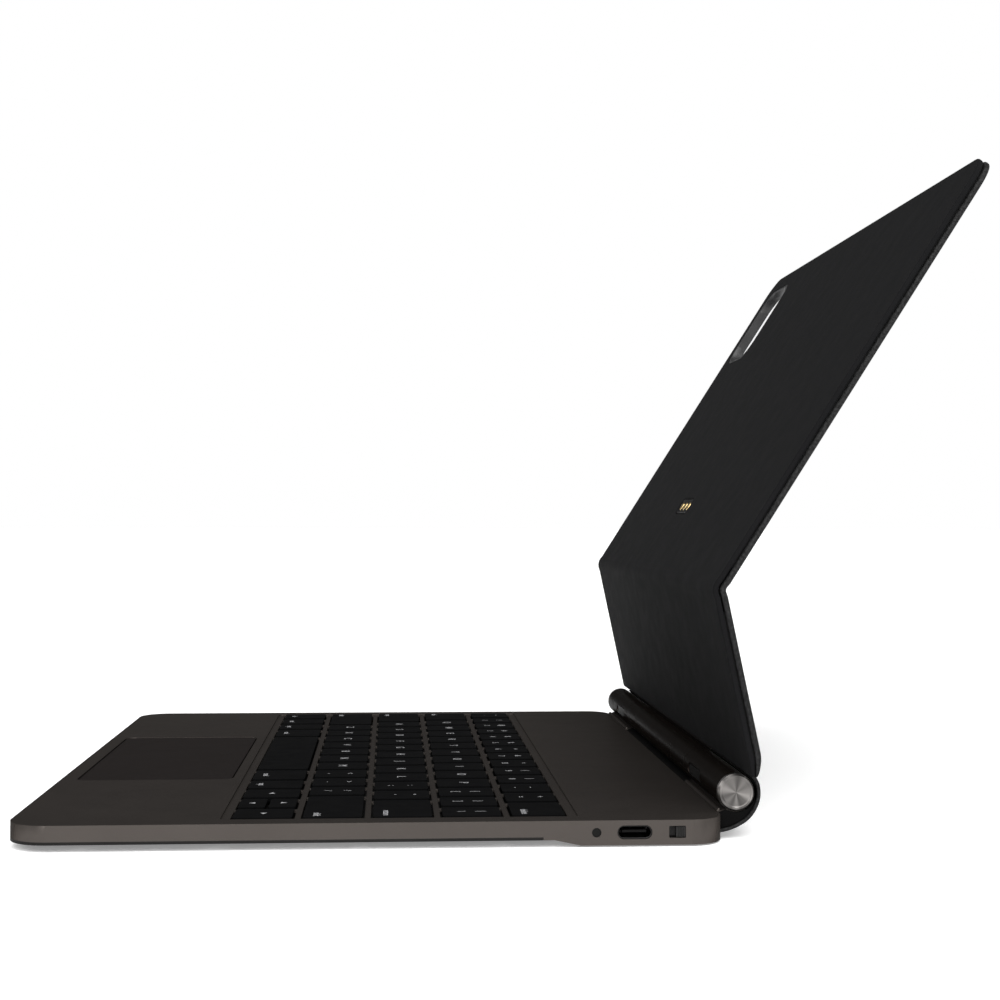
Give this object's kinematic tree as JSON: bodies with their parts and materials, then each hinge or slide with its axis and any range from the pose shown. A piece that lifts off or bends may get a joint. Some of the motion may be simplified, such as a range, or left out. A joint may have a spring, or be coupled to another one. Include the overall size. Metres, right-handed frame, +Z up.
{
  "type": "tablet keyboard case",
  "caption": "Folding keyboard case for a tablet: thin key deck with trackpad and side ports, barrel hinge, and a two-panel leather-look stand and cover that folds flat over the keys",
  "frame": {"origin": "on the table under the middle of the open case: middle of its width, middle of its overall depth from the front edge of the base to the top edge of the cover, bottom of the feet", "axes": "+X to the right of a person typing, +Y away from them towards the hinge, +Z up; the rest pose is open for typing"},
  "size_m": [0.25, 0.2644, 0.1863],
  "materials": {
    "deck": "fine bead-blasted anodised, warm dark grey",
    "underside": "fine-grained polyurethane skin",
    "foot": "matte",
    "steel": "satin",
    "membrane": "silicone, matte",
    "support": "matte",
    "black_plastic": "matte",
    "cell": "pouch foil, matte",
    "board": "solder mask",
    "port": "satin",
    "lens": "frosted",
    "barrel": "anodised, dark brown-black",
    "cap": "turned, spun finish",
    "clutch": "satin",
    "skin": "fine-grained polyurethane leather, dark grey",
    "liner": "microfibre, dark grey",
    "core": "glass-fibre board",
    "pad": "etched glass, dark",
    "slider": "satin",
    "magnet": "nickel plated",
    "contact": "gold plated contacts in a black block",
    "trim": "satin",
    "key": "fine matte with light-grey legends"
  },
  "bodies": {
    "base": {"deck_shell": "deck", "bottom_plate": "underside", "hump_plate": "deck", "front_feet": "foot", "rear_foot": "foot", "key_plate": "steel", "key_membrane": "membrane", "key_supports": "support", "trackpad_frame": "steel", "click_switch": "black_plastic", "batteries": "cell", "main_board": "board", "usb_shell": "port", "usb_tongue": "black_plastic", "switch_housing": "black_plastic", "status_lens": "lens", "hinge_saddles": "deck", "hinge_sleeves": "barrel", "sleeve_pads": "foot", "end_caps": "cap", "hinge_shafts": "steel", "torque_units": "clutch", "spine_skin": "skin", "screws": "steel"},
    "trackpad": {"trackpad_glass": "pad", "trackpad_plate": "steel"},
    "power_slider_body": {"power_slider": "slider"},
    "stand": {"centre_barrel": "barrel", "barrel_bushings": "clutch", "hinge_strap": "deck", "stand_core": "core", "stand_liner": "liner", "stand_skin": "skin", "fold_leaf_stand": "steel", "fold_pin": "steel", "fold_skin": "skin", "fold_liner": "liner"},
    "cover": {"cover_core": "core", "cover_magnets": "magnet", "cover_liner": "liner", "cover_skin": "skin", "fold_leaf_cover": "steel", "window_trim": "trim", "contact_block": "contact"},
    "key_space_body": {"key_space": "key"},
    "key_left_body": {"key_left": "key"},
    "key_up_body": {"key_up": "key"},
    "key_down_body": {"key_down": "key"},
    "key_right_body": {"key_right": "key"},
    "key_return_body": {"key_return": "key"},
    "key_backspace_body": {"key_backspace": "key"},
    "key_tab_body": {"key_tab": "key"},
    "key_caps_body": {"key_caps": "key"},
    "key_shift_left_body": {"key_shift_left": "key"},
    "key_shift_right_body": {"key_shift_right": "key"},
    "keys_modifiers_body": {"keys_modifiers": "key"},
    "keys_number_row_body": {"keys_number_row": "key"},
    "keys_top_row_body": {"keys_top_row": "key"},
    "keys_home_row_body": {"keys_home_row": "key"},
    "keys_bottom_row_body": {"keys_bottom_row": "key"}
  },
  "joints": [
    {"name": "case_fold", "type": "hinge", "parent": "base", "child": "stand", "pos_m": [0, 0.06217, 0.0125], "axis": [1, 0, 0], "range_deg": [-2, 78]},
    {"name": "cover_tilt", "type": "hinge", "parent": "stand", "child": "cover", "pos_m": [0, 0.05634, 0.06831], "axis": [1, 0, 0], "range_deg": [-8, 44.5]},
    {"name": "trackpad_click", "type": "slide", "parent": "base", "child": "trackpad", "axis": [0, 0, -1], "range_m": [0, 0.00035], "stiffness_N_per_m": 2500},
    {"name": "power_switch", "type": "slide", "parent": "base", "child": "power_slider_body", "axis": [0, -1, 0], "range_m": [0, 0.0018]},
    {"name": "key_space_press", "type": "slide", "parent": "base", "child": "key_space_body", "axis": [0, 0, -1], "range_m": [0, 0.001], "stiffness_N_per_m": 500},
    {"name": "key_left_press", "type": "slide", "parent": "base", "child": "key_left_body", "axis": [0, 0, -1], "range_m": [0, 0.001], "stiffness_N_per_m": 500},
    {"name": "key_up_press", "type": "slide", "parent": "base", "child": "key_up_body", "axis": [0, 0, -1], "range_m": [0, 0.001], "stiffness_N_per_m": 500},
    {"name": "key_down_press", "type": "slide", "parent": "base", "child": "key_down_body", "axis": [0, 0, -1], "range_m": [0, 0.001], "stiffness_N_per_m": 500},
    {"name": "key_right_press", "type": "slide", "parent": "base", "child": "key_right_body", "axis": [0, 0, -1], "range_m": [0, 0.001], "stiffness_N_per_m": 500},
    {"name": "key_return_press", "type": "slide", "parent": "base", "child": "key_return_body", "axis": [0, 0, -1], "range_m": [0, 0.001], "stiffness_N_per_m": 500},
    {"name": "key_backspace_press", "type": "slide", "parent": "base", "child": "key_backspace_body", "axis": [0, 0, -1], "range_m": [0, 0.001], "stiffness_N_per_m": 500},
    {"name": "key_tab_press", "type": "slide", "parent": "base", "child": "key_tab_body", "axis": [0, 0, -1], "range_m": [0, 0.001], "stiffness_N_per_m": 500},
    {"name": "key_caps_press", "type": "slide", "parent": "base", "child": "key_caps_body", "axis": [0, 0, -1], "range_m": [0, 0.001], "stiffness_N_per_m": 500},
    {"name": "key_shift_left_press", "type": "slide", "parent": "base", "child": "key_shift_left_body", "axis": [0, 0, -1], "range_m": [0, 0.001], "stiffness_N_per_m": 500},
    {"name": "key_shift_right_press", "type": "slide", "parent": "base", "child": "key_shift_right_body", "axis": [0, 0, -1], "range_m": [0, 0.001], "stiffness_N_per_m": 500},
    {"name": "keys_modifiers_press", "type": "slide", "parent": "base", "child": "keys_modifiers_body", "axis": [0, 0, -1], "range_m": [0, 0.001], "stiffness_N_per_m": 3000},
    {"name": "keys_number_row_press", "type": "slide", "parent": "base", "child": "keys_number_row_body", "axis": [0, 0, -1], "range_m": [0, 0.001], "stiffness_N_per_m": 6500},
    {"name": "keys_top_row_press", "type": "slide", "parent": "base", "child": "keys_top_row_body", "axis": [0, 0, -1], "range_m": [0, 0.001], "stiffness_N_per_m": 6500},
    {"name": "keys_home_row_press", "type": "slide", "parent": "base", "child": "keys_home_row_body", "axis": [0, 0, -1], "range_m": [0, 0.001], "stiffness_N_per_m": 5500},
    {"name": "keys_bottom_row_press", "type": "slide", "parent": "base", "child": "keys_bottom_row_body", "axis": [0, 0, -1], "range_m": [0, 0.001], "stiffness_N_per_m": 5000}
  ]
}
